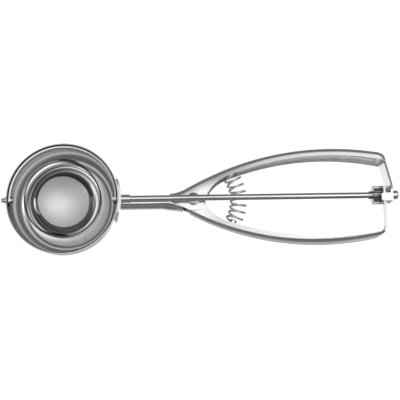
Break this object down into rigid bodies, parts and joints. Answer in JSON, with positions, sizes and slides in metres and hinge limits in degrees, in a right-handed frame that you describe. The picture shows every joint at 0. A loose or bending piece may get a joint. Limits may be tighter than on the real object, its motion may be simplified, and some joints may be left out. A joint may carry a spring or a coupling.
{
  "type": "lever ice cream scoop",
  "caption": "Ice cream scoop with a deep round bowl, a sweeping blade and sprung grips: squeezing the lever drives a rack and pinion on the long rod that turns the blade.",
  "frame": {"origin": "centre of the bowl's half ball, on the axis of the drive rod", "axes": "+X along the drive rod to the end of the handle, +Y to the side of the fixed handle, +Z out of the bowl's mouth"},
  "size_m": [0.2301, 0.065, 0.0431],
  "materials": {
    "polished_sheet": "mirror polished stainless sheet",
    "turned_steel": "polished stainless bar",
    "spring_steel": "bright drawn stainless wire",
    "cut_gear": "machined stainless"
  },
  "bodies": {
    "frame": {"bowl": "polished_sheet", "bowl_saddle": "polished_sheet", "stem": "polished_sheet", "fixed_handle": "polished_sheet", "hub_rivet": "turned_steel", "hub_spacer": "turned_steel", "rear_bush": "turned_steel", "front_bush": "turned_steel", "end_bush": "turned_steel", "spring_stud_fixed": "turned_steel", "spring": "spring_steel"},
    "lever": {"lever": "polished_sheet", "rack": "polished_sheet", "spring_stud_lever": "turned_steel"},
    "rotor": {"drive_rod": "turned_steel", "pinion": "cut_gear", "pinion_pin": "cut_gear", "end_washer": "turned_steel", "end_nut": "turned_steel", "blade": "polished_sheet", "blade_rear_hub": "turned_steel", "blade_front_hub": "turned_steel", "front_pin": "turned_steel"}
  },
  "joints": [
    {"name": "lever_squeeze", "type": "hinge", "parent": "frame", "child": "lever", "pos_m": [0.0755, 0, -0.0099], "axis": [0, 0, 1], "range_deg": [0, 7.9], "stiffness_Nm_per_rad": 4, "springref_deg": -5.73, "deforming": ["spring"]},
    {"name": "rod_spin", "type": "hinge", "parent": "frame", "child": "rotor", "pos_m": [0, 0, 0], "axis": [-1, 0, 0], "range_deg": [0, 180]}
  ],
  "couplings": [
    {"joint": "rod_spin", "follows": "lever_squeeze", "ratio": 22.74}
  ]
}
